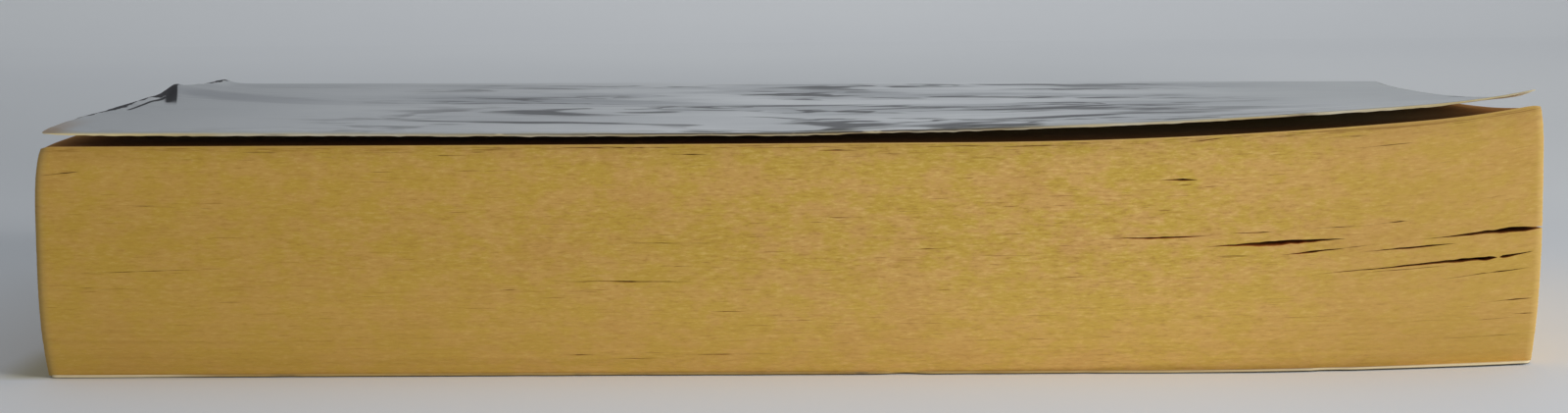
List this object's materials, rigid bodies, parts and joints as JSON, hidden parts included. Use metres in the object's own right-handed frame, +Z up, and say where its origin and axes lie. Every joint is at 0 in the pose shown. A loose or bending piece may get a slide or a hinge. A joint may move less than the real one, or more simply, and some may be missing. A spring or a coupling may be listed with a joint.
{
  "type": "paperback book",
  "caption": "Thick well-read pocket paperback lying on its back cover, with hinged card covers, a curved fore edge, parted leaves and a curled head corner.",
  "frame": {"origin": "middle of the underside, where the book rests on its back cover", "axes": "+X along the spine from tail to head, +Y from the fore edge back to the spine, +Z up through the front cover"},
  "size_m": [0.175, 0.106, 0.0328],
  "materials": {
    "page_paper": "matte",
    "binding_glue": "satin",
    "cover_card": "satin"
  },
  "bodies": {
    "block": {"text_block": "page_paper", "spine_glue": "binding_glue", "cover_spine": "cover_card"},
    "front": {"front_cover": "cover_card"},
    "back": {"back_cover": "cover_card"}
  },
  "joints": [
    {"name": "front_cover_hinge", "type": "hinge", "parent": "block", "child": "front", "pos_m": [0, 0.048, 0.02778], "axis": [-1, 0, 0.0046], "range_deg": [0, 180]},
    {"name": "back_cover_hinge", "type": "hinge", "parent": "block", "child": "back", "pos_m": [0, 0.048, -0.00008], "axis": [1, 0, 0], "range_deg": [0, 180]}
  ]
}
